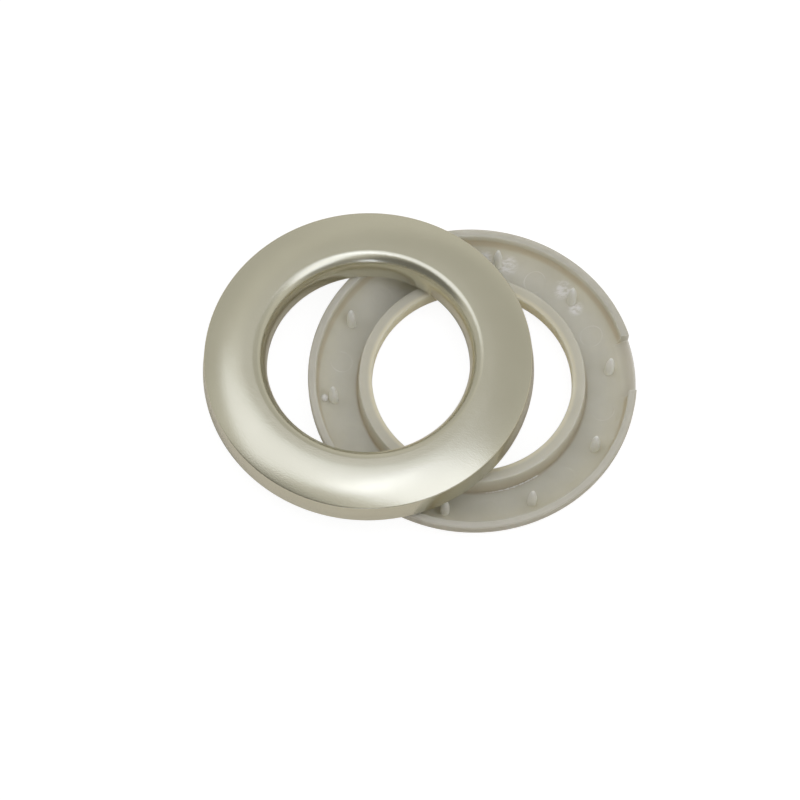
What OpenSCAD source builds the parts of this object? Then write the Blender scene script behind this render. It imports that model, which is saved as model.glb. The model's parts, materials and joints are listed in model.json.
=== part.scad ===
// Curtain grommet eyelet in two halves: a domed front ring and a toothed back ring.
// The back ring lies with its inner face up, and the front ring rests on it, moved to one side.

/* [Back ring] */
// Outer diameter across the rim
rim_d = 66; // [60:0.5:76]
// Width of the flat band on top of the rim
rim_band = 1.6; // [1.2:0.1:2.2]
// Height of the back ring, from its foot to the rim band
back_h = 7.5; // [6.5:0.1:9]
// Diameter of the straight part of the hole
back_hole_d = 40.3; // [36:0.1:42]
// Radius of the lip that rolls outward under the hole
back_lip_r = 3.5; // [2.8:0.1:4.2]
// Depth of the straight inner and outer walls under the rim band
rim_wall_h = 1.75; // [1:0.05:2.5]
// Thickness of the domed floor at the foot
floor_t = 1.5; // [1:0.1:2]

/* [Collar] */
// Thickness of the collar at its top
collar_wall = 2.6; // [2:0.1:3.2]
// How far the collar's top lies below the rim band
collar_drop = 1.35; // [0:0.05:2.5]
// Growth of the collar's outer radius from its top to its foot
collar_draft = 0.35; // [0:0.05:0.8]
// Radius of the fillet between the collar and the floor
collar_fillet = 0.4; // [0.2:0.05:0.8]

/* [Teeth] */
// Number of teeth
tooth_count = 10; // [6:1:14]
// From the inner side of the rim to the middle of a tooth
tooth_inset = 3.3; // [2.8:0.1:4.2]
// Diameter of a tooth at its foot
tooth_d = 1.9; // [1.6:0.1:2.6]
// Diameter of the flat tip of a tooth
tooth_tip_d = 0.6; // [0.4:0.05:1]
// Length of the tapered end of a tooth
tooth_taper_h = 3; // [2:0.1:4]
// How far the tips stand above the rim band
tooth_proud = 0.5; // [0.2:0.1:1.5]
// Angle of the first tooth
tooth_phase = 6.4; // [0:0.1:36]

/* [Moulding details] */
// Angle at the middle of the pry notch in the rim
notch_at = 4.85; // [-20:0.05:20]
// Width of the pry notch, between its two straight walls
notch_w = 12.2; // [6:0.1:18]
// Depth of the pry notch at the outer edge
notch_depth = 2.4; // [1.9:0.05:3]
// From the inner side of the rim to where the pry notch runs out in the domed floor
notch_inset = 1.4; // [0.9:0.1:1.9]
// From the inner side of the rim to the middle of an ejector mark
mark_inset = 4.4; // [3.4:0.1:5.2]
// Diameter of one ejector mark
mark_d = 4.2; // [3:0.1:5]
// Depth of an ejector mark at its middle
mark_depth = 0.05; // [0.03:0.01:0.15]
// Diameter of the gate nub inside the rim
nub_d = 1.5; // [1:0.1:2]
// From the inner side of the rim to the middle of the gate nub
nub_inset = 1.5; // [1:0.1:2.4]

/* [Front ring] */
// How far the bottom of the side wall stands outside the back ring's rim
front_overhang = 0.225; // [0.1:0.025:0.8]
// How far the side wall leans in from its bottom to its top
side_lean = 0.525; // [0.2:0.025:1]
// Height of the side wall
side_h = 4.8; // [3.5:0.1:7]
// Radius of the edge between the side wall and the dome
edge_r = 0.35; // [0.2:0.05:1]
// Radius of the dome's curve from its crest to its edge
dome_r = 18; // [14:0.5:30]
// How much the radius of the hole exceeds that of the back ring's hole
front_hole_step = 0.18; // [0:0.01:0.6]
// Width of the level crest between the dome and the lip
front_crest_w = 1.25; // [0.5:0.05:2]
// Width of the elliptical lip that rolls from the crest into the hole
front_lip_w = 2.75; // [2:0.05:4]
// Height of that lip
front_lip_h = 4; // [2.4:0.1:5]
// Thickness of the dome and of the side wall
shell_t = 1.3; // [0.8:0.1:1.8]
// Thickness of the tube round the hole
tube_t = 1.4; // [1:0.1:2]
// How far the tube reaches below the side wall
tube_proud = 0.21; // [0:0.01:0.6]
// Height of the lead-in at the mouth of the tube
lead_in_h = 0.65; // [0.4:0.05:1]

/* [Laid out] */
// Direction in which the tooth that carries the front ring lies
prop_at = 222; // [210:1:234]
// How far inside the tube's wall the middle of that tooth lies
prop_depth = 0.09; // [0:0.01:1.2]
// Direction from that tooth to the front ring's middle
lay_turn = 90.25; // [84:0.01:96]
// Gap left where the front ring rests
seat_gap = 0.02; // [0.01:0.01:0.2]

/* [Hidden] */
$fn = 180;
small_fn = 40;
cut_over = 1;
sharp_edge = 0.15;
inner_edge_r = 0.4;
hole_chamfer = 0.2;
lead_in_w = 0.2;
tooth_root = 0.15;
tooth_draft = 0.05;
tooth_bulge = 1.5;
nub_pole = 80;

// Back ring, measured from its foot
rim_r = rim_d / 2;
rim_in_r = rim_r - rim_band;
wall_foot_z = back_h - rim_wall_h;
back_hole_r = back_hole_d / 2;
back_crest_r = back_hole_r + back_lip_r;
collar_z = back_h - collar_drop;
collar_r = back_hole_r + collar_wall;
collar_foot_r = collar_r + collar_draft;
floor_start_r = max(back_crest_r, collar_foot_r + collar_fillet);
floor_reach = rim_in_r - floor_start_r;
floor_sink = wall_foot_z - floor_t;
tooth_circle_r = rim_in_r - tooth_inset;
tooth_step = 360 / tooth_count;
mark_circle_r = rim_in_r - mark_inset;
nub_circle_r = rim_in_r - nub_inset;
nub_at = tooth_phase + tooth_step * round(tooth_count / 2);
notch_in_r = rim_in_r - notch_inset;
notch_slope = (back_h - notch_depth - floor_z(notch_in_r)) / (rim_r - notch_in_r);
// The part's origin is on the hole's axis, halfway up its straight wall
back_bore_top_z = collar_z - hole_chamfer;
origin_z = (back_lip_r + back_bore_top_z) / 2;

// Front ring, measured from the bottom of its side wall
front_base_r = rim_r + front_overhang;
front_top_r = front_base_r - side_lean;
front_hole_r = back_hole_r + front_hole_step;
tube_r = front_hole_r + tube_t;
front_lip_mid_r = front_hole_r + front_lip_w;
front_crest_r = front_lip_mid_r + front_crest_w;
edge_mid = [front_top_r - edge_r, side_h - edge_r];
dome_end = asin((edge_mid.x - front_crest_r) / (dome_r - edge_r));
dome_mid_z = edge_mid.y - (dome_r - edge_r) * cos(dome_end);
crest_z = dome_mid_z + dome_r;
front_lip_mid = [front_lip_mid_r, crest_z - front_lip_h];
ceiling_r = dome_r - shell_t;
wall_in_r = front_top_r - shell_t;
ceiling_end = asin((wall_in_r - front_crest_r) / ceiling_r);

// Points along an ellipse, without its first one where the outline has that already
function arc(mid, rx, ry, from, to, steps, first = 0) =
    [for (i = [first : steps]) let (a = from + (to - from) * i / steps) mid + [rx * cos(a), ry * sin(a)]];

function tooth_xy(i) = let (a = tooth_phase + tooth_step * i) tooth_circle_r * [cos(a), sin(a)];

function floor_z(r) = wall_foot_z - floor_sink * sqrt(1 - pow((r - floor_start_r) / floor_reach, 2));

function floor_slope(r) =
    let (u = (r - floor_start_r) / floor_reach)
    atan(floor_sink * u / (floor_reach * sqrt(1 - u * u)));

// Where the front ring rests: its tube and side wall on the far rim, its tube on one near tooth
prop_tooth = round((prop_at - tooth_phase) / tooth_step);
lay = tooth_xy(prop_tooth) + (front_hole_r + prop_depth) * [cos(lay_turn), sin(lay_turn)];
lay_far = norm(lay);

// Far crossing of a circle round the front ring's middle and a circle round the back ring's middle
function cross_y(front_r, back_r) =
    let (along = (back_r * back_r - front_r * front_r + lay_far * lay_far) / (2 * lay_far))
    (along * lay.y + sqrt(max(0, back_r * back_r - along * along)) * abs(lay.x)) / lay_far;

tube_rest_y = max(cross_y(tube_r, rim_in_r), cross_y(tube_r, rim_r));
wall_rest_y = max(cross_y(front_base_r, rim_in_r), cross_y(front_base_r, rim_r));
lay_tilt = atan(tooth_proud / (tube_rest_y - tooth_xy(prop_tooth).y));

function over(xy, low_r, high_r) =
    let (r = norm(xy - lay)) r > low_r - tooth_d / 4 && r < high_r + tooth_d / 4;

function lift_for(y, top, reach) = top + (y - lay.y) * sin(lay_tilt) + reach * cos(lay_tilt);

tooth_lifts = [for (i = [0 : tooth_count - 1]) let (xy = tooth_xy(i))
    over(xy, front_hole_r, tube_r) ? lift_for(xy.y, tooth_proud, tube_proud)
    : over(xy, front_base_r - shell_t, front_base_r) ? lift_for(xy.y, tooth_proud, 0) : 0];
rim_lift = max(lift_for(tube_rest_y, 0, tube_proud), lift_for(wall_rest_y, 0, 0));
lay_lift = seat_gap + max(rim_lift, max(tooth_lifts));

module back_body() {
    rotate_extrude()
        polygon(concat(
            [[rim_r - sharp_edge, back_h], [rim_r, back_h - sharp_edge]],
            arc([back_crest_r, wall_foot_z], rim_r - back_crest_r, wall_foot_z, 0, -90, 16),
            arc([back_crest_r, back_lip_r], back_lip_r, back_lip_r, -90, -180, 9, 1),
            [[back_hole_r, back_bore_top_z], [back_hole_r + hole_chamfer, collar_z]],
            [[collar_r - sharp_edge, collar_z], [collar_r, collar_z - sharp_edge]],
            arc([collar_foot_r + collar_fillet, floor_t + collar_fillet], collar_fillet, collar_fillet, 180, 270, 4),
            arc([floor_start_r, wall_foot_z], floor_reach, floor_sink, -90, 0, 15, 1),
            arc([rim_in_r + inner_edge_r, back_h - inner_edge_r], inner_edge_r, inner_edge_r, 180, 90, 4)
        ));
}

// A straight shank that tapers to a small flat tip, its foot sunk in the floor
module tooth() {
    foot_r = tooth_d / 2;
    shank_r = foot_r - tooth_draft;
    tip_r = tooth_tip_d / 2;
    root_z = floor_z(tooth_circle_r - foot_r) - tooth_root;
    tip_z = back_h + tooth_proud;
    steps = 6;
    rotate_extrude($fn = small_fn)
        polygon(concat(
            [[0, root_z], [foot_r, root_z]],
            [for (i = [0 : steps]) let (t = i / steps)
                [tip_r + (shank_r - tip_r) * (1 - pow(t, tooth_bulge)), tip_z - tooth_taper_h * (1 - t)]],
            [[0, tip_z]]
        ));
}

// A ball with its two poles taken off flat, its foot sunk in the floor
module gate_nub() {
    nub_r = nub_d / 2;
    translate([nub_circle_r, 0, floor_z(nub_circle_r) + nub_r / 2])
        rotate_extrude($fn = small_fn)
            polygon(concat(
                [[0, -nub_r * sin(nub_pole)]],
                arc([0, 0], nub_r, nub_r, -nub_pole, nub_pole, 10),
                [[0, nub_r * sin(nub_pole)]]
            ));
}

module ejector_mark() {
    translate([mark_circle_r, 0, floor_z(mark_circle_r)])
        rotate([0, -floor_slope(mark_circle_r), 0])
            translate([0, 0, -mark_depth])
                cylinder(d = mark_d, h = cut_over, $fn = small_fn);
}

// Cuts the rim away between two straight walls, down to a slope that carries on the domed floor
module pry_notch() {
    rotate([0, 0, notch_at])
        intersection() {
            rotate_extrude()
                polygon([
                    [notch_in_r, floor_z(notch_in_r)],
                    [rim_r + cut_over, back_h - notch_depth + cut_over * notch_slope],
                    [rim_r + cut_over, back_h + cut_over],
                    [notch_in_r, back_h + cut_over]
                ]);
            translate([0, -notch_w / 2, 0])
                cube([rim_d, notch_w, 2 * back_h]);
        }
}

module back_ring() {
    color([0.70, 0.69, 0.63])
        translate([0, 0, -origin_z]) {
            difference() {
                back_body();
                pry_notch();
                for (i = [0 : tooth_count - 1])
                    rotate([0, 0, tooth_phase + tooth_step * (i + 0.5)])
                        ejector_mark();
            }
            for (i = [0 : tooth_count - 1])
                translate(tooth_xy(i))
                    tooth();
            rotate([0, 0, nub_at])
                gate_nub();
        }
}

module front_body() {
    rotate_extrude()
        polygon(concat(
            [[front_base_r - sharp_edge, 0], [front_base_r, sharp_edge]],
            arc(edge_mid, edge_r, edge_r, 0, 90 - dome_end, 4),
            arc([front_crest_r, dome_mid_z], dome_r, dome_r, 90 - dome_end, 90, 10, 1),
            arc(front_lip_mid, front_lip_w, front_lip_h, 90, 180, 10),
            [[front_hole_r, lead_in_h - tube_proud], [front_hole_r + lead_in_w, -tube_proud]],
            [[tube_r, -tube_proud]],
            arc(front_lip_mid, front_lip_w - tube_t, front_lip_h - shell_t, 180, 90, 8),
            arc([front_crest_r, dome_mid_z], ceiling_r, ceiling_r, 90, 90 - ceiling_end, 8),
            [[front_base_r - shell_t, 0]]
        ));
}

module front_ring() {
    color([0.68, 0.66, 0.58])
        translate([lay.x, lay.y, back_h - origin_z + lay_lift])
            rotate([-lay_tilt, 0, 0])
                front_body();
}

back_ring();
front_ring();
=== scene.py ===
import json
import math

import bmesh
import bpy
from mathutils import Matrix, Vector


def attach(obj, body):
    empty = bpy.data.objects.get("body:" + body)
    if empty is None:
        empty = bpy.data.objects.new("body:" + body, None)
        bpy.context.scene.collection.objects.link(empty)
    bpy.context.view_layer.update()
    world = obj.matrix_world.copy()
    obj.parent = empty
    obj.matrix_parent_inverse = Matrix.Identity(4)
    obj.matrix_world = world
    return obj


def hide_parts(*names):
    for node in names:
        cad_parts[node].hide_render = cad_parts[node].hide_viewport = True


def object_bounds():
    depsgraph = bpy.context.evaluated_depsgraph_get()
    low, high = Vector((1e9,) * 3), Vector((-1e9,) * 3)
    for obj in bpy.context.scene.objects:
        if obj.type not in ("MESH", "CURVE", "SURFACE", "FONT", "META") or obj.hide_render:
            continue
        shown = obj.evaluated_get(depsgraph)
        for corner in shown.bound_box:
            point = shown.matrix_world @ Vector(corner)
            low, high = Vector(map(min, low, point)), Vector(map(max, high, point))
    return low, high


# Curtain grommet eyelet: the dressed visual model of the front ring and of the back ring. Metres.

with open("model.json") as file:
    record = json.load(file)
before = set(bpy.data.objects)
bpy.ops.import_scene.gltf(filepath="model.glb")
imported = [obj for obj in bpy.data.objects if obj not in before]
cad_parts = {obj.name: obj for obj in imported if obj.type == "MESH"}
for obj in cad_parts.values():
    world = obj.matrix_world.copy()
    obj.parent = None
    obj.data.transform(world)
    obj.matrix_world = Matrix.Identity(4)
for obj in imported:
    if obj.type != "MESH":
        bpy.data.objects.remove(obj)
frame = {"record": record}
cad_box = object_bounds()
mounts = {mount["name"]: mount for mount in frame["record"]["mounts"]}

# Back ring, heights measured from its foot
RIM_R = 0.033
RIM_BAND = 0.0016
RIM_EDGE_R = 0.0002
BACK_H = 0.0075
RIM_WALL_H = 0.00175
INNER_EDGE_R = 0.0004
FLOOR_T = 0.0015
BACK_HOLE_R = 0.02015
BACK_LIP_R = 0.0035
COLLAR_WALL = 0.0026
COLLAR_DROP = 0.00135
COLLAR_DRAFT = 0.00035
COLLAR_FILLET = 0.0004
COLLAR_EDGE_R = 0.00025
TOOTH_COUNT = 10
TOOTH_CIRCLE_R = 0.0281
TOOTH_R = 0.00095
TOOTH_DRAFT = 0.00005
TOOTH_TIP_R = 0.0003
TOOTH_TAPER_H = 0.003
TOOTH_BULGE = 1.5
TOOTH_PROUD = 0.0005
TOOTH_ROOT = 0.00015
TOOTH_PHASE = 6.4
NOTCH_AT = 4.85
NOTCH_W = 0.0122
NOTCH_DEPTH = 0.0024
NOTCH_IN_R = 0.030
NOTCH_FADE = 2.5
MARK_CIRCLE_R = 0.027
MARK_R = 0.0021
MARK_DEPTH = 0.00005
MARK_EDGE = 0.0002
FLASH_R = 0.00014
FLASH_FROM = -84
FLASH_TO = -56
FLASH_STEPS = 90
FLASH_SIDES = 6
NUB_R = 0.00075
NUB_AT_R = 0.0299
# Painted highlights in streaky patches beside two teeth, where light catches the wavy surface: tooth,
# millimetres along the circle and outward from its middle, and their reach
FLOW_HIGHLIGHT_PATCHES = (
    (2, 2.6, 0.6, 2.3),
    (2, -2.2, 0.2, 2.6),
    (1, 3.0, 0.5, 2.6),
    (1, -1.7, -0.4, 2.0),
)
BACK_STEPS = 680
NOTCH_STEPS = 42
TAPER_STEPS = 12
PEG_STEPS = 24

# Front ring, heights measured from the bottom of its side wall
FRONT_BASE_R = 0.033225
FRONT_TOP_R = 0.0327
SIDE_H = 0.0048
EDGE_R = 0.00035
DOME_R = 0.018
FRONT_HOLE_R = 0.02033
FRONT_CREST_W = 0.00125
FRONT_LIP_W = 0.00275
FRONT_LIP_H = 0.004
SHELL_T = 0.0013
TUBE_T = 0.0014
TUBE_PROUD = 0.00021
LEAD_IN_W = 0.0002
LEAD_IN_H = 0.00065
FOOT_EDGE_R = 0.00012
FRONT_STEPS = 320

# Camera, in the photograph's frame of 800 by 800 pixels
VIEW_ELEVATION = 65.89
VIEW_DISTANCE = 0.480
VIEW_TARGET = (-0.01452, -0.0056, 0.002775)
LENS = 108.2

# Light. Directions are degrees from overhead, to the right and away from the viewer
LIT_POINT = (-0.01, 0, 0.003)
LAMP_TINT = (0.94, 1.0, 1.25)
SURROUND_TINT = (1.02, 1.0, 0.92)
SURROUND = 0.64
# Direction, angle of the full patch, angle where it ends, and what it leaves of the surround
SURROUND_PATCHES = (
    ((-48, -54), 28, 48, 0.28),
    ((35, -80), 14, 44, 0.45),
    ((-60, 50), 10, 50, 0.82),
    ((26, 26), 20, 42, 0.8),
)

# Colours of the plastic in places. It is one plastic: the colours by place are painted light and shade, and
# the near-white ones are painted highlights and glints
BOWL_COLOR = (0.675, 0.655, 0.555)
# Painted shade: the rim band is painted darker than the bowl.
RIM_SHADE_COLOR = (0.565, 0.545, 0.47)
# Painted shade on the outer wall, its top edge and the outer part of the notch floor
OUTER_SHADE = (0.47, 0.445, 0.37)
# Painted light: the teeth painted paler than the bowl, for light that passes through them
TOOTH_LIT_COLOR = (0.93, 0.90, 0.765)
# Painted glint: the nub and the flash line painted near white
GLINT_WHITE = (0.93, 0.92, 0.88)
# Painted shade in the corner at the foot of the rim's inner wall
WALL_FOOT_SHADE = (0.61, 0.56, 0.44)
# Painted light: the bore wall painted lighter and browner, for light that comes through it
BORE_PAINTED_LIGHT = (0.82, 0.76, 0.57)
# Painted shade: the collar top painted a little darker than the bowl
COLLAR_TOP_SHADE = (0.625, 0.60, 0.50)
# Painted shade on the collar's outer wall and the fillet at its foot
COLLAR_FOOT_SHADE = (0.57, 0.515, 0.395)
# Painted highlight colour for the streaks beside two teeth and the edges of the ejector marks
PAINTED_HIGHLIGHT_WHITE = (0.98, 0.96, 0.93)
GLINT_GREY = (0.72, 0.70, 0.65)

# Finish of the plastic: noise in features per metre, depths of bumps and of the light inside in metres
PLASTIC_IOR = 1.49
PLASTIC_ROUGHNESS = (0.34, 0.46)
SKIN_SCALE = 1400
SKIN_DEPTH = 0.00003
CLOUD_SCALE = 160
CLOUD_LEVELS = (0.96, 1.03)
GLOW_DEPTH = 0.004
GLOW_TINT = (0.96, 0.96, 1.0)
TORN_SCALE = 2600
TORN_ROUGHNESS = (0.2, 0.35)
TORN_GLOW_DEPTH = 0.001
# Share of light going inside where highlights and glints are painted
GLOW_UNDER_PAINTED_WHITE = 0.2
STREAK_SCALE = 1500
ARC_BREAK_SCALE = 90

# Finish of the plating
PLATING_COLORS = ((0.66, 0.64, 0.52), (0.69, 0.67, 0.55))
PLATING_ROUGHNESS = (0.21, 0.25)
PLATING_CLOUD_SCALE = 90
GRAIN_SCALE = 3800
GRAIN_DEPTH = 0.000021

# Floor
FLOOR_R = 2.0
PAPER_COLOR = (0.95, 0.90, 0.81)
SEEN_PAPER_COLOR = (0.24, 0.24, 0.24)
SEEN_GLOW = 0.9

# Derived sizes
rim_in_r = RIM_R - RIM_BAND
wall_foot_z = BACK_H - RIM_WALL_H
back_crest_r = BACK_HOLE_R + BACK_LIP_R
collar_z = BACK_H - COLLAR_DROP
collar_r = BACK_HOLE_R + COLLAR_WALL
collar_foot_r = collar_r + COLLAR_DRAFT
floor_start_r = max(back_crest_r, collar_foot_r + COLLAR_FILLET)
floor_reach = rim_in_r - floor_start_r
floor_sink = wall_foot_z - FLOOR_T
back_foot_z = cad_box[0].z
tooth_step = 360 / TOOTH_COUNT
notch_half = math.asin(NOTCH_W / 2 / RIM_R)
notch_mid = math.radians(NOTCH_AT)
notch_floor_angle = -math.degrees(math.acos((NOTCH_IN_R - floor_start_r) / floor_reach))
notch_wall_angle = -math.degrees(math.asin((NOTCH_DEPTH - RIM_WALL_H) / wall_foot_z))

tube_r = FRONT_HOLE_R + TUBE_T
front_lip_mid_r = FRONT_HOLE_R + FRONT_LIP_W
front_crest_r = front_lip_mid_r + FRONT_CREST_W
edge_mid = (FRONT_TOP_R - EDGE_R, SIDE_H - EDGE_R)
dome_end = math.asin((edge_mid[0] - front_crest_r) / (DOME_R - EDGE_R))
dome_mid_z = edge_mid[1] - (DOME_R - EDGE_R) * math.cos(dome_end)
front_crest_z = dome_mid_z + DOME_R
ceiling_r = DOME_R - SHELL_T
ceiling_end = math.asin((FRONT_TOP_R - SHELL_T - front_crest_r) / ceiling_r)

# Where one painted shade of the plastic gives way to the next: from and to, as distances from the axis
RIM_FADE = (rim_in_r - 0.0001, rim_in_r + 0.0003)
OUTER_FADE = (RIM_R - 0.0005, RIM_R - 0.0001)
NOTCH_FLOOR_FADE = (NOTCH_IN_R - 0.0005, RIM_R - 0.0005)
STEEP_FADE = (rim_in_r - 0.0008, rim_in_r - 0.0003)
INNER_WALL_END = (rim_in_r + 0.00005, rim_in_r + 0.00015)
COLLAR_FADE = (collar_r - 0.0001, collar_r + 0.0001)
COLLAR_FOOT_END = (collar_foot_r + 0.0001, collar_foot_r + 0.0007)
COLLAR_TOP_END = (collar_r, collar_foot_r)
BORE_END = (BACK_HOLE_R + 0.0002, BACK_HOLE_R + 0.0012)
# The same as distances from the middle of the notch, and as heights over the foot
BESIDE_NOTCH_FADE = (NOTCH_W / 2 - 0.0003, NOTCH_W / 2 + 0.0001)
WALL_TOP_END = (back_foot_z + wall_foot_z - 0.0004, back_foot_z + wall_foot_z + 0.0006)
# The painted highlight line on an ejector mark's edge, as distances from its middle
ARC_LINE_END = (0.00004, 0.00014)


# Outlines and surfaces

def arc(mid, rx, rz, start, end, steps):
    """Points of an arc, angles in degrees."""
    angles = [math.radians(start + (end - start) * i / steps) for i in range(steps + 1)]
    return [(mid[0] + rx * math.cos(a), mid[1] + rz * math.sin(a)) for a in angles]


def rounded(before, corner, after, radius, steps=4):
    """Points of a small arc in place of a corner of an outline."""
    corner = Vector(corner)
    to_before = (Vector(before) - corner).normalized()
    to_after = (Vector(after) - corner).normalized()
    half = to_before.angle(to_after) / 2
    middle = corner + (to_before + to_after).normalized() * radius / math.sin(half)
    start = corner + to_before * radius / math.tan(half) - middle
    end = corner + to_after * radius / math.tan(half) - middle
    turn = math.atan2(start.x * end.y - start.y * end.x, start.dot(end))
    points = [middle + Matrix.Rotation(turn * i / steps, 2) @ start for i in range(steps + 1)]
    return [(p.x, p.y) for p in points]


def floor_z(r):
    """Height of the back ring's domed floor above its foot."""
    share = min(1, (r - floor_start_r) / floor_reach)
    return wall_foot_z - floor_sink * math.sqrt(1 - share * share)


def smooth_share(x):
    """A share from 0 to 1 that starts and ends gently."""
    x = max(0, min(1, x))
    return x * x * (3 - 2 * x)


def mesh_object(name, bm, materials):
    """Closes a bmesh into a shown object, shaded smooth apart from its sharp edges."""
    bmesh.ops.recalc_face_normals(bm, faces=bm.faces)
    for face in bm.faces:
        face.smooth = True
    mesh = bpy.data.meshes.new(name)
    bm.to_mesh(mesh)
    bm.free()
    for material in materials:
        mesh.materials.append(material)
    obj = bpy.data.objects.new(name, mesh)
    bpy.context.scene.collection.objects.link(obj)
    return obj


def skin(bm, loops, closed):
    """Quads between neighbouring loops of vertices. Each loop is closed on itself."""
    pairs = list(zip(loops, loops[1:]))
    if closed:
        pairs.append((loops[-1], loops[0]))
    for one, two in pairs:
        count = len(one)
        for i in range(count):
            bm.faces.new((one[i], one[(i + 1) % count], two[(i + 1) % count], two[i]))


def revolve(bm, outline, steps, place):
    """A closed outline turned about an axis, as a ring of quads."""
    loops = []
    for i in range(steps):
        a = 2 * math.pi * i / steps
        loops.append([bm.verts.new((r * math.cos(a), r * math.sin(a), z)) for r, z in outline])
    skin(bm, loops, True)
    bmesh.ops.transform(bm, matrix=place, verts=[v for loop in loops for v in loop])


def close_ends(bm, loops, first, material_index):
    """Caps a skin at both ends and gives its faces, from the first on, their material."""
    bm.faces.new(loops[-1])
    bm.faces.new(reversed(loops[0]))
    bm.faces.ensure_lookup_table()
    for face in bm.faces[first:]:
        face.material_index = material_index


def turned_peg(bm, outline, place, material_index):
    """A small solid of revolution that stands on a surface: an open outline from foot to flat tip."""
    angles = [2 * math.pi * i / PEG_STEPS for i in range(PEG_STEPS)]
    loops = []
    for r, z in outline:
        ring = [Vector((r * math.cos(a), r * math.sin(a), z)) for a in angles]
        loops.append([bm.verts.new(place @ point) for point in ring])
    first = len(bm.faces)
    skin(bm, loops, False)
    close_ends(bm, loops, first, material_index)


# Materials

def new_material(name):
    material = bpy.data.materials.new(name)
    material.use_nodes = True
    tree = material.node_tree
    shader = tree.nodes["Principled BSDF"]
    return material, tree, shader


def node(tree, kind, **values):
    """A new node. Each value sets the socket of its name, or else the node's own setting."""
    made = tree.nodes.new(kind)
    for key, value in values.items():
        if key in made.inputs:
            made.inputs[key].default_value = value
        else:
            setattr(made, key, value)
    return made


def noise(tree, scale, detail=2.0, roughness=0.5):
    """Noise in the part's own coordinates. Scale is in features per metre."""
    where = node(tree, "ShaderNodeTexCoord")
    made = node(tree, "ShaderNodeTexNoise", Scale=scale, Detail=detail, Roughness=roughness)
    tree.links.new(where.outputs["Object"], made.inputs["Vector"])
    return made


def mapped(tree, source, low, high, to_low, to_high):
    made = node(tree, "ShaderNodeMapRange")
    ends = {"From Min": low, "From Max": high, "To Min": to_low, "To Max": to_high}
    for key, value in ends.items():
        made.inputs[key].default_value = value
    tree.links.new(source, made.inputs["Value"])
    return made.outputs["Result"]


def noise_mapped(tree, source, low, high):
    """A noise's middle range spread over two values."""
    return mapped(tree, source, 0.3, 0.7, low, high)


def smoothly(tree, source, low, high, to_low=0, to_high=1):
    result = mapped(tree, source, low, high, to_low, to_high)
    result.node.interpolation_type = "SMOOTHSTEP"
    return result


def math_of(tree, operation, one, two=0):
    made = node(tree, "ShaderNodeMath", operation=operation)
    for socket, value in zip(made.inputs, (one, two)):
        if isinstance(value, (int, float)):
            socket.default_value = value
        else:
            tree.links.new(value, socket)
    return made.outputs[0]


def vector_math(tree, operation, source, other=None):
    made = node(tree, "ShaderNodeVectorMath", operation=operation)
    tree.links.new(source, made.inputs[0])
    if other is not None:
        made.inputs[1].default_value = other
    return made


def mixed(tree, share, one, two):
    """A colour between two fixed ones."""
    made = node(tree, "ShaderNodeMix", data_type="RGBA")
    tree.links.new(share, made.inputs["Factor"])
    made.inputs["A"].default_value = (*one, 1)
    made.inputs["B"].default_value = (*two, 1)
    return made.outputs["Result"]


def tinted(tree, share, color, tint):
    """A colour that gives way to a fixed one."""
    made = node(tree, "ShaderNodeMix", data_type="RGBA")
    tree.links.new(share, made.inputs["Factor"])
    tree.links.new(color, made.inputs["A"])
    made.inputs["B"].default_value = (*tint, 1)
    return made.outputs["Result"]


def bumped(tree, shader, height, strength, distance):
    made = node(tree, "ShaderNodeBump", Strength=strength, Distance=distance)
    tree.links.new(height, made.inputs["Height"])
    tree.links.new(made.outputs["Normal"], shader.inputs["Normal"])


def make_plating():
    """Satin champagne nickel plating over a moulded part."""
    material, tree, shader = new_material("satin_plating")
    shader.inputs["Metallic"].default_value = 1.0
    cloud = noise(tree, PLATING_CLOUD_SCALE, 3.0, 0.6).outputs["Fac"]
    grain = noise(tree, GRAIN_SCALE).outputs["Fac"]
    color = mixed(tree, noise_mapped(tree, cloud, 0, 1), *PLATING_COLORS)
    tree.links.new(color, shader.inputs["Base Color"])
    tree.links.new(noise_mapped(tree, grain, *PLATING_ROUGHNESS), shader.inputs["Roughness"])
    bumped(tree, shader, grain, 0.8, GRAIN_DEPTH)
    return material


def flow_mark_highlights(tree, place):
    """Share of painted highlight in the streaky patches on both sides of two teeth."""
    streaks = noise(tree, STREAK_SCALE, 3.0, 0.65)
    turn = (0, 0, math.radians(45))
    stretch = node(tree, "ShaderNodeMapping", Rotation=turn, Scale=(0.45, 1.0, 1.0))
    tree.links.new(place, stretch.inputs["Vector"])
    tree.links.new(stretch.outputs[0], streaks.inputs["Vector"])
    share = 0
    for tooth, along, out, reach in FLOW_HIGHLIGHT_PATCHES:
        a = math.radians(TOOTH_PHASE + tooth_step * tooth)
        r = TOOTH_CIRCLE_R + out / 1000
        x = r * math.cos(a) - along / 1000 * math.sin(a)
        y = r * math.sin(a) + along / 1000 * math.cos(a)
        middle = (x, y, back_foot_z + floor_z(math.hypot(x, y)))
        far = vector_math(tree, "DISTANCE", place, middle).outputs["Value"]
        patch = smoothly(tree, far, 0.3 * reach / 1000, reach / 1000, 1, 0)
        share = math_of(tree, "MAXIMUM", patch, share)
    streaked = smoothly(tree, streaks.outputs["Fac"], 0.38, 0.62, 0.15, 0.8)
    return math_of(tree, "MULTIPLY", share, streaked)


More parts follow.
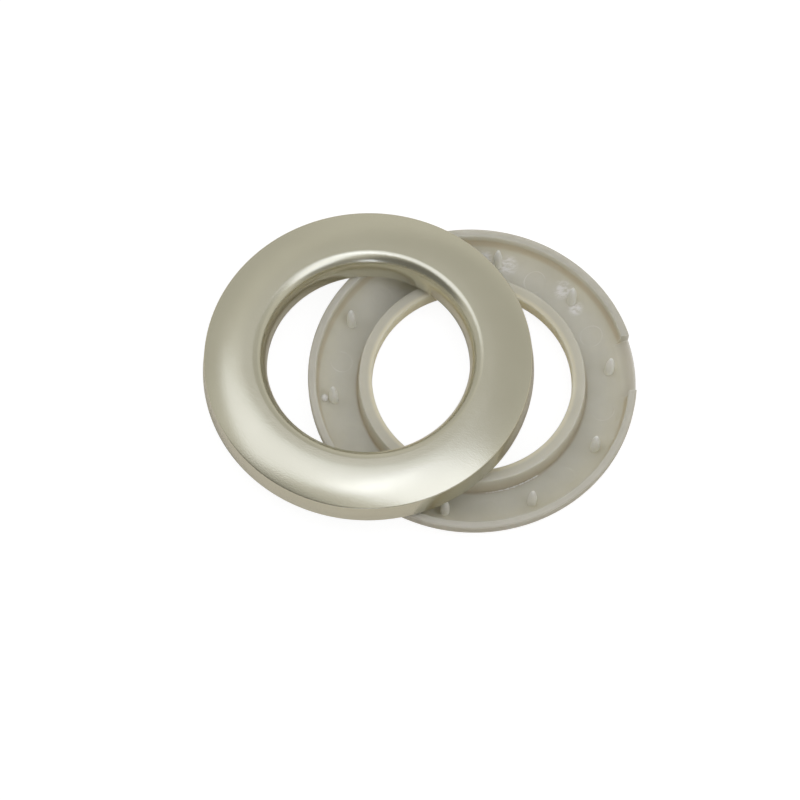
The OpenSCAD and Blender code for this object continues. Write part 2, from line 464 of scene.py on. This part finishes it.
def ejector_arc_highlights(tree, far, split):
    """Share of painted highlight on the broken edges of the ejector marks."""
    angle = math_of(tree, "ARCTAN2", split.outputs["Y"], split.outputs["X"])
    step = math.radians(tooth_step)
    local = math_of(tree, "SUBTRACT", angle, math.radians(TOOTH_PHASE))
    local = math_of(tree, "SUBTRACT", math_of(tree, "FLOORED_MODULO", local, step), step / 2)
    across = math_of(tree, "MULTIPLY", far, math_of(tree, "SINE", local))
    along = math_of(tree, "MULTIPLY", far, math_of(tree, "COSINE", local))
    along = math_of(tree, "SUBTRACT", along, MARK_CIRCLE_R)
    squares = [math_of(tree, "MULTIPLY", side, side) for side in (across, along)]
    off = math_of(tree, "SQRT", math_of(tree, "ADD", *squares))
    off = math_of(tree, "ABSOLUTE", math_of(tree, "SUBTRACT", off, MARK_R + MARK_EDGE / 2))
    line = smoothly(tree, off, *ARC_LINE_END, 1, 0)
    breaks = noise(tree, ARC_BREAK_SCALE, 3.0, 0.6).outputs["Fac"]
    return math_of(tree, "MULTIPLY", line, smoothly(tree, breaks, 0.48, 0.66, 0, 0.4))


def make_plastic(name, bowl, rim):
    """Pale grey moulded plastic that light enters. Its colour changes by place as painted light and shade:
    the rim, outer wall, notch floor, foot of the rim's inner wall, collar and bore, with painted highlights
    beside two teeth and on the ejector marks' edges.
    """
    material, tree, shader = new_material(name)
    where = node(tree, "ShaderNodeTexCoord").outputs["Object"]
    flat = vector_math(tree, "MULTIPLY", where, (1, 1, 0)).outputs[0]
    far = vector_math(tree, "LENGTH", flat).outputs["Value"]
    split = node(tree, "ShaderNodeSeparateXYZ")
    tree.links.new(where, split.inputs[0])

    notch = (rim_in_r * math.cos(notch_mid), rim_in_r * math.sin(notch_mid), 0)
    off_notch = vector_math(tree, "DISTANCE", flat, notch).outputs["Value"]
    beside = smoothly(tree, off_notch, *BESIDE_NOTCH_FADE)
    # Painted shade: the rim band darker than the bowl.
    on_rim = math_of(tree, "MULTIPLY", smoothly(tree, far, *RIM_FADE), beside)
    color = mixed(tree, on_rim, bowl, rim)
    # Painted shade: the outer wall and its top edge darker.
    color = tinted(tree, smoothly(tree, far, *OUTER_FADE), color, OUTER_SHADE)
    # Painted shade: the notch floor darker towards the outer edge.
    in_notch = math_of(tree, "SUBTRACT", 1, beside)
    notch_floor_shade = smoothly(tree, far, *NOTCH_FLOOR_FADE)
    color = tinted(tree, math_of(tree, "MULTIPLY", in_notch, notch_floor_shade), color, OUTER_SHADE)
    # Painted shade: browner in the corner at the foot of the rim's inner wall.
    steep = smoothly(tree, far, *STEEP_FADE)
    below = smoothly(tree, split.outputs["Z"], *WALL_TOP_END, 1, 0)
    inner = smoothly(tree, far, *INNER_WALL_END, 1, 0)
    wall = math_of(tree, "MULTIPLY", math_of(tree, "MULTIPLY", steep, below), inner)
    color = tinted(tree, math_of(tree, "MULTIPLY", wall, beside), color, WALL_FOOT_SHADE)
    # Painted shade: the collar's outer wall and fillet darker and browner.
    collar_out = smoothly(tree, far, *COLLAR_FADE)
    collar_in = smoothly(tree, far, *COLLAR_FOOT_END, 1, 0)
    color = tinted(tree, math_of(tree, "MULTIPLY", collar_out, collar_in), color, COLLAR_FOOT_SHADE)
    # Painted shade on the collar top, then painted light on the bore wall.
    color = tinted(tree, smoothly(tree, far, *COLLAR_TOP_END, 1, 0), color, COLLAR_TOP_SHADE)
    color = tinted(tree, smoothly(tree, far, *BORE_END, 1, 0), color, BORE_PAINTED_LIGHT)
    # Painted highlights: streaks beside two teeth and lines on the ejector marks' edges.
    white = math_of(tree, "MAXIMUM", flow_mark_highlights(tree, where), ejector_arc_highlights(tree, far, split))
    color = tinted(tree, white, color, PAINTED_HIGHLIGHT_WHITE)

    cloud = noise(tree, CLOUD_SCALE, 3.0, 0.55).outputs["Fac"]
    mottle = node(tree, "ShaderNodeHueSaturation")
    tree.links.new(noise_mapped(tree, cloud, *CLOUD_LEVELS), mottle.inputs["Value"])
    tree.links.new(color, mottle.inputs["Color"])
    tree.links.new(mottle.outputs[0], shader.inputs["Base Color"])
    surface = noise(tree, SKIN_SCALE, 3.0, 0.6).outputs["Fac"]
    tree.links.new(noise_mapped(tree, surface, *PLASTIC_ROUGHNESS), shader.inputs["Roughness"])
    glow = mapped(tree, white, 0, 1, 1, GLOW_UNDER_PAINTED_WHITE)
    tree.links.new(glow, shader.inputs["Subsurface Weight"])
    shader.inputs["IOR"].default_value = PLASTIC_IOR
    shader.inputs["Subsurface Scale"].default_value = GLOW_DEPTH
    shader.inputs["Subsurface Radius"].default_value = GLOW_TINT
    bumped(tree, shader, surface, 0.15, SKIN_DEPTH)
    return material


def make_glint_plastic():
    """The same plastic painted near white, as a painted glint on the gate's nub and a painted highlight
    along the flash line.
    """
    material, tree, shader = new_material("plastic_painted_glint")
    cloud = noise(tree, TORN_SCALE).outputs["Fac"]
    tree.links.new(mixed(tree, cloud, GLINT_GREY, GLINT_WHITE), shader.inputs["Base Color"])
    tree.links.new(noise_mapped(tree, cloud, *TORN_ROUGHNESS), shader.inputs["Roughness"])
    shader.inputs["IOR"].default_value = PLASTIC_IOR
    shader.inputs["Subsurface Weight"].default_value = GLOW_UNDER_PAINTED_WHITE
    shader.inputs["Subsurface Scale"].default_value = TORN_GLOW_DEPTH
    shader.inputs["Subsurface Radius"].default_value = (1.0, 1.0, 1.0)
    bumped(tree, shader, cloud, 0.2, SKIN_DEPTH)
    return material


# The front ring

def front_outline():
    """The front ring's section: side wall, dome, lip, tube and hollow underside."""
    foot = (FRONT_BASE_R, 0)
    foot_in = (FRONT_BASE_R - SHELL_T, 0)
    lead_in = (FRONT_HOLE_R, LEAD_IN_H - TUBE_PROUD)
    tube_in = (FRONT_HOLE_R + LEAD_IN_W, -TUBE_PROUD)
    tube_out = (tube_r, -TUBE_PROUD)
    side_top = (FRONT_TOP_R, SIDE_H - EDGE_R)
    lip_mid = (front_lip_mid_r, front_crest_z - FRONT_LIP_H)
    dome_mid = (front_crest_r, dome_mid_z)
    turn = 90 - math.degrees(dome_end)
    ceiling_turn = 90 - math.degrees(ceiling_end)
    inner_lip = arc(lip_mid, FRONT_LIP_W - TUBE_T, FRONT_LIP_H - SHELL_T, 180, 90, 12)
    ceiling = arc(dome_mid, ceiling_r, ceiling_r, 90, ceiling_turn, 14)
    return (
        rounded(foot_in, foot, side_top, FOOT_EDGE_R, 3)
        + arc(edge_mid, EDGE_R, EDGE_R, 0, turn, 8)
        + arc(dome_mid, DOME_R, DOME_R, turn, 90, 44)[1:]
        + arc(lip_mid, FRONT_LIP_W, FRONT_LIP_H, 90, 180, 40)
        + [lead_in]
        + rounded(lead_in, tube_in, tube_out, FOOT_EDGE_R, 3)
        + rounded(tube_in, tube_out, inner_lip[0], FOOT_EDGE_R, 3)
        + inner_lip
        + ceiling
        + rounded(ceiling[-1], foot_in, foot, FOOT_EDGE_R, 3)
    )


def front_place():
    """Where the front ring lies, from its bore's mount."""
    mount = mounts["front_bore"]
    axis = Vector(mount["axis"]).normalized()
    bore_mid_z = LEAD_IN_H - TUBE_PROUD + mount["dims"]["length_mm"] / 2000
    origin = Vector(mount["pos_m"]) - axis * bore_mid_z
    return Matrix.Translation(origin) @ Vector((0, 0, 1)).rotation_difference(axis).to_matrix().to_4x4()


def make_front_ring(plating):
    bm = bmesh.new()
    revolve(bm, front_outline(), FRONT_STEPS, front_place())
    ring = mesh_object("plated_front_ring", bm, [plating])
    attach(ring, "root")
    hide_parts("front_ring")


# The back ring

def kept_outline():
    """The part of the section that the notch leaves, from the outer wall round the foot to the floor."""
    lip_mid = (back_crest_r, BACK_LIP_R)
    bore_foot = (BACK_HOLE_R, BACK_LIP_R)
    bore_top = (BACK_HOLE_R, collar_z)
    collar_top = (collar_r, collar_z)
    fillet_mid = (collar_foot_r + COLLAR_FILLET, FLOOR_T + COLLAR_FILLET)
    cover_mid = (back_crest_r, wall_foot_z)
    floor_mid = (floor_start_r, wall_foot_z)
    return (
        arc(cover_mid, RIM_R - back_crest_r, wall_foot_z, notch_wall_angle, -90, 22)
        + arc(lip_mid, BACK_LIP_R, BACK_LIP_R, -90, -180, 14)[1:]
        + rounded(bore_foot, bore_top, collar_top, COLLAR_EDGE_R)
        + rounded(bore_top, collar_top, (collar_foot_r, FLOOR_T), COLLAR_EDGE_R)
        + arc(fillet_mid, COLLAR_FILLET, COLLAR_FILLET, 180, 270, 5)
        + arc(floor_mid, floor_reach, floor_sink, -90, notch_floor_angle, 34)
    )


def rim_outline():
    """The rest of the section: the steep end of the floor, the rim and the top of the outer wall."""
    cover_mid = (back_crest_r, wall_foot_z)
    floor_mid = (floor_start_r, wall_foot_z)
    inner_mid = (rim_in_r + INNER_EDGE_R, BACK_H - INNER_EDGE_R)
    return (
        arc(floor_mid, floor_reach, floor_sink, notch_floor_angle, 0, 14)[1:]
        + arc(inner_mid, INNER_EDGE_R, INNER_EDGE_R, 180, 90, 6)
        + rounded((rim_in_r, BACK_H), (RIM_R, BACK_H), (RIM_R, 0), RIM_EDGE_R)
        + arc(cover_mid, RIM_R - back_crest_r, wall_foot_z, 0, notch_wall_angle, 3)[:-1]
    )


def notch_outline(start, end, steps=10):
    """The slope in the notch, from the floor to the outer wall, without its two ends."""
    start, end = Vector(start), Vector(end)
    return [tuple(start.lerp(end, i / steps)) for i in range(1, steps)]


def column_angle(base, r):
    """Angle of a column's point. Beside the notch the columns run parallel to its walls."""
    off = (base - notch_mid + math.pi) % (2 * math.pi) - math.pi
    if abs(off) >= notch_half * NOTCH_FADE:
        return base
    parallel = math.asin(math.sin(off) * RIM_R / max(r, NOTCH_IN_R - 0.001))
    fade = smooth_share((abs(off) / notch_half - 1) / (NOTCH_FADE - 1))
    return notch_mid + parallel * (1 - fade) + off * fade


def mark_sink(x, y):
    """How far an ejector mark sinks the floor at a point."""
    turn = math.degrees(math.atan2(y, x)) - TOOTH_PHASE - tooth_step / 2
    nearest = math.radians(TOOTH_PHASE + tooth_step / 2 + tooth_step * round(turn / tooth_step))
    far = math.hypot(x - MARK_CIRCLE_R * math.cos(nearest), y - MARK_CIRCLE_R * math.sin(nearest))
    return MARK_DEPTH * (1 - smooth_share((far - MARK_R) / MARK_EDGE))


def column(bm, base, outline, on_floor=False):
    """A section's vertices at an angle. Those on the floor sink with the ejector marks."""
    points = []
    for r, z in outline:
        a = column_angle(base, r)
        x, y = r * math.cos(a), r * math.sin(a)
        sunk = mark_sink(x, y) if on_floor and abs(z - floor_z(r)) < 1e-6 else 0
        points.append(bm.verts.new((x, y, back_foot_z + z - sunk)))
    return points


def add_body(bm):
    """The ring itself: a full section all round, and a cut one between the notch's walls."""
    kept, rim = kept_outline(), rim_outline()
    slope = notch_outline(kept[-1], kept[0])
    around = 2 * math.pi - 2 * notch_half
    bases = [notch_mid + notch_half + around * i / BACK_STEPS for i in range(BACK_STEPS + 1)]
    kept_columns = [column(bm, base, kept, True) for base in bases]
    rim_columns = [column(bm, base, rim) for base in bases]
    skin(bm, [one + two for one, two in zip(kept_columns, rim_columns)], False)

    shares = [2 * i / NOTCH_STEPS - 1 for i in range(NOTCH_STEPS + 1)]
    notch_bases = [notch_mid + notch_half * share for share in shares]
    inner = [column(bm, base, kept, True) for base in notch_bases[1:-1]]
    cut_kept = [kept_columns[-1]] + inner + [kept_columns[0]]
    cut_slope = [column(bm, base, slope) for base in notch_bases]
    skin(bm, [one + two for one, two in zip(cut_kept, cut_slope)], False)

    walls = []
    for end, notch_end in ((-1, 0), (0, -1)):
        outline = [kept_columns[end][-1]] + rim_columns[end] + [kept_columns[end][0]]
        walls.append(bm.faces.new(outline + cut_slope[notch_end][::-1]))
    for wall in walls:
        for edge in wall.edges:
            edge.smooth = False


def add_tooth(bm, index):
    """A straight shank that tapers to a small flat tip."""
    tip_z = BACK_H + TOOTH_PROUD
    shank_r = TOOTH_R - TOOTH_DRAFT
    outline = [(TOOTH_R, floor_z(TOOTH_CIRCLE_R - TOOTH_R) - TOOTH_ROOT)]
    for i in range(TAPER_STEPS + 1):
        share = i / TAPER_STEPS
        r = TOOTH_TIP_R + (shank_r - TOOTH_TIP_R) * (1 - share ** TOOTH_BULGE)
        outline.append((r, tip_z - TOOTH_TAPER_H * (1 - share)))
    turn = Matrix.Rotation(math.radians(TOOTH_PHASE + tooth_step * index), 4, "Z")
    place = turn @ Matrix.Translation((TOOTH_CIRCLE_R, 0, back_foot_z))
    turned_peg(bm, outline, place, 1)


def add_flash(bm):
    """The thin uneven line of flash at the near side of the collar's foot."""
    mid_r = collar_foot_r + COLLAR_FILLET * 0.6
    mid_z = back_foot_z + FLOOR_T + COLLAR_FILLET * 0.2
    turns = [2 * math.pi * k / FLASH_SIDES for k in range(FLASH_SIDES)]
    loops = []
    for i in range(FLASH_STEPS + 1):
        share = i / FLASH_STEPS
        a = math.radians(FLASH_FROM + (FLASH_TO - FLASH_FROM) * share)
        uneven = 1 + 0.7 * math.sin(i * 0.9) * math.sin(i * 0.37)
        thick = FLASH_R * uneven * (0.3 + 0.7 * smooth_share(share * 2))
        section = [(mid_r + thick * math.cos(t), mid_z + thick * math.sin(t)) for t in turns]
        loops.append([bm.verts.new((r * math.cos(a), r * math.sin(a), z)) for r, z in section])
    first = len(bm.faces)
    skin(bm, loops, False)
    # Material 2 paints the flash near white: a painted highlight line.
    close_ends(bm, loops, first, 2)


def add_nub(bm):
    """The gate's nub, a small dome inside the rim."""
    outline = arc((0, 0), NUB_R, NUB_R, -60, 82, 12)
    turn = Matrix.Rotation(math.radians(TOOTH_PHASE + 180), 4, "Z")
    place = turn @ Matrix.Translation((NUB_AT_R, 0, back_foot_z + floor_z(NUB_AT_R) + NUB_R / 2))
    # Material 2 paints the nub near white: a painted glint.
    turned_peg(bm, outline, place, 2)


def united(body, added):
    """Joins two closed meshes into one skin, so that light passes inside from one to the other."""
    union = body.modifiers.new("union", "BOOLEAN")
    union.operation = "UNION"
    union.solver = "EXACT"
    union.object = added
    bpy.context.view_layer.update()
    mesh = bpy.data.meshes.new_from_object(body.evaluated_get(bpy.context.evaluated_depsgraph_get()))
    body.modifiers.clear()
    body.data = mesh
    bpy.data.objects.remove(added)
    bm = bmesh.new()
    bm.from_mesh(mesh)
    for edge in bm.edges:
        if len({face.material_index for face in edge.link_faces}) > 1:
            edge.smooth = False
    bm.to_mesh(mesh)
    bm.free()


def make_back_ring(*plastics):
    bm = bmesh.new()
    add_body(bm)
    ring = mesh_object("moulded_back_ring", bm, plastics)
    bm = bmesh.new()
    for index in range(TOOTH_COUNT):
        add_tooth(bm, index)
    add_flash(bm)
    add_nub(bm)
    united(ring, mesh_object("teeth_and_nub", bm, plastics))
    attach(ring, "root")
    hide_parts("back_ring")


# Stage, light and camera

def make_floor():
    """A plain white floor that keeps a faint shadow. For the camera, part of its white is its own light."""
    material = bpy.data.materials.new("studio_floor")
    material.use_nodes = True
    tree = material.node_tree
    tree.nodes.clear()
    output = node(tree, "ShaderNodeOutputMaterial")
    path = node(tree, "ShaderNodeLightPath")
    which = node(tree, "ShaderNodeMixShader")
    paper = node(tree, "ShaderNodeBsdfDiffuse", Color=(*PAPER_COLOR, 1))
    seen_paper = node(tree, "ShaderNodeBsdfDiffuse", Color=(*SEEN_PAPER_COLOR, 1))
    glow = node(tree, "ShaderNodeEmission", Color=(1, 1, 1, 1), Strength=SEEN_GLOW)
    seen = node(tree, "ShaderNodeAddShader")
    tree.links.new(seen_paper.outputs[0], seen.inputs[0])
    tree.links.new(glow.outputs[0], seen.inputs[1])
    tree.links.new(path.outputs["Is Camera Ray"], which.inputs[0])
    tree.links.new(paper.outputs[0], which.inputs[1])
    tree.links.new(seen.outputs[0], which.inputs[2])
    tree.links.new(which.outputs[0], output.inputs["Surface"])
    bm = bmesh.new()
    bmesh.ops.create_circle(bm, cap_ends=True, segments=96, radius=FLOOR_R)
    bmesh.ops.translate(bm, verts=bm.verts, vec=(0, 0, back_foot_z))
    floor = mesh_object("studio_floor", bm, [material])


def toward(across, away):
    """A direction from the object, as degrees from overhead to the right and away from the viewer."""
    off = math.radians(math.hypot(across, away))
    turn = math.atan2(away, across)
    return Vector((math.sin(off) * math.cos(turn), math.sin(off) * math.sin(turn), math.cos(off)))


def make_world():
    """A pale surround, darker in wide soft patches. The camera sees plain white beyond the floor."""
    world = bpy.data.worlds.new("studio")
    bpy.context.scene.world = world
    world.use_nodes = True
    tree = world.node_tree
    where = node(tree, "ShaderNodeTexCoord").outputs["Generated"]
    level = SURROUND
    for direction, full, gone, least in SURROUND_PATCHES:
        near = vector_math(tree, "DOT_PRODUCT", where, toward(*direction)).outputs["Value"]
        ends = [math.cos(math.radians(angle)) for angle in (gone, full)]
        level = math_of(tree, "MULTIPLY", smoothly(tree, near, *ends, 1, least), level)
    background = tree.nodes["Background"]
    background.inputs["Color"].default_value = (*SURROUND_TINT, 1)
    tree.links.new(level, background.inputs["Strength"])
    path = node(tree, "ShaderNodeLightPath")
    which = node(tree, "ShaderNodeMixShader")
    white = node(tree, "ShaderNodeBackground", Color=(1, 1, 1, 1), Strength=1.0)
    tree.links.new(path.outputs["Is Camera Ray"], which.inputs[0])
    tree.links.new(background.outputs[0], which.inputs[1])
    tree.links.new(white.outputs[0], which.inputs[2])
    tree.links.new(which.outputs[0], tree.nodes["World Output"].inputs["Surface"])


def softbox(name, direction, size, turn, radiance, far=0.45):
    """A rectangular lamp aimed at the object. Its size is in degrees as the object sees it."""
    light = bpy.data.lights.new(name, "AREA")
    light.shape = "RECTANGLE"
    light.color = LAMP_TINT
    light.size = 2 * far * math.tan(math.radians(size[0] / 2))
    light.size_y = 2 * far * math.tan(math.radians(size[1] / 2))
    light.energy = radiance * math.pi * light.size * light.size_y
    lamp = bpy.data.objects.new(name, light)
    back = toward(*direction)
    long_side = Vector((math.cos(math.radians(turn)), math.sin(math.radians(turn)), 0))
    long_side = (long_side - back * long_side.dot(back)).normalized()
    turned = Matrix((long_side, back.cross(long_side), back)).transposed().to_4x4()
    lamp.matrix_world = Matrix.Translation(Vector(LIT_POINT) + back * far) @ turned
    bpy.context.scene.collection.objects.link(lamp)
    lamp.visible_camera = False


def make_camera():
    tilt = math.radians(VIEW_ELEVATION)
    camera = bpy.data.cameras.new("camera")
    camera.lens = LENS
    camera.sensor_width = 36
    camera.clip_start = 0.01
    viewer = bpy.data.objects.new("camera", camera)
    viewer.location = Vector(VIEW_TARGET) + VIEW_DISTANCE * Vector((0, -math.cos(tilt), math.sin(tilt)))
    viewer.rotation_euler = (math.pi / 2 - tilt, 0, 0)
    bpy.context.scene.collection.objects.link(viewer)
    bpy.context.scene.camera = viewer


bpy.context.scene.view_settings.view_transform = "Standard"
make_camera()
make_world()
make_floor()
softbox("left_softbox", (-17, 4.5), (46, 36), -10, 0.54)
softbox("right_softbox", (20, -20), (60, 34), -43, 0.78)
softbox("front_lamp", (-4, -80), (12, 8), 0, 2.0)

make_front_ring(make_plating())
make_back_ring(
    make_plastic("pale_plastic", BOWL_COLOR, RIM_SHADE_COLOR),
    # The teeth's plastic, painted paler as painted light.
    make_plastic("tooth_plastic_painted_light", TOOTH_LIT_COLOR, TOOTH_LIT_COLOR),
    make_glint_plastic(),
)
